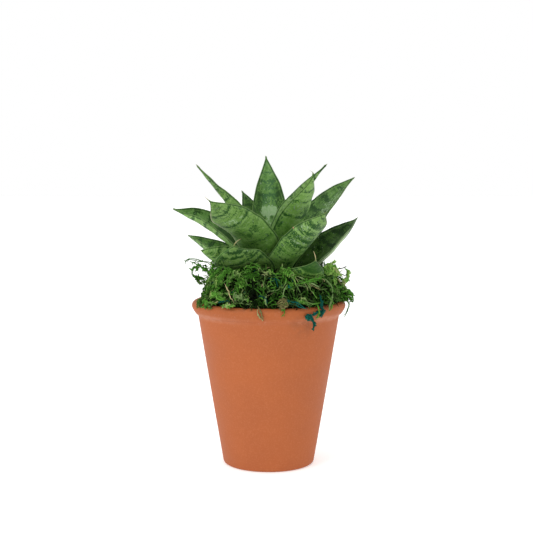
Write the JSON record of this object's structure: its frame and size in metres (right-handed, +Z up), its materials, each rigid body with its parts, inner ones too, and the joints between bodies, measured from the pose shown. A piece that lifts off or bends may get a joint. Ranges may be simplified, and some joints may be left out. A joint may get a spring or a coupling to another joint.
{
  "type": "potted snake plant",
  "caption": "Bird's-nest snake plant, a rosette of broad banded leaves, in a small round terracotta pot with curly green moss on the soil.",
  "frame": {"origin": "centre of the pot's foot, on the surface the pot stands on", "axes": "+Z up along the pot's axis; the plant's front, as pictured, faces -Y and +X is its right seen from the front"},
  "size_m": [0.1303, 0.1138, 0.2129],
  "materials": {
    "terracotta": "matte",
    "soil": "matte",
    "rhizome": "satin",
    "leaf": "satin",
    "moss": "matte",
    "moss_teal": "matte"
  },
  "bodies": {
    "root": {"pot": "terracotta", "soil": "soil", "rhizome": "rhizome", "leaf_01": "leaf", "leaf_02": "leaf", "leaf_03": "leaf", "leaf_04": "leaf", "leaf_05": "leaf", "leaf_06": "leaf", "leaf_07": "leaf", "leaf_08": "leaf", "leaf_09": "leaf", "leaf_10": "leaf", "leaf_11": "leaf", "leaf_12": "leaf", "leaf_13": "leaf", "leaf_14": "leaf", "leaf_15": "leaf", "leaf_16": "leaf", "leaf_17": "leaf", "leaf_18": "leaf", "leaf_19": "leaf", "moss": "moss", "moss_tuft_teal": "moss_teal"}
  },
  "joints": []
}
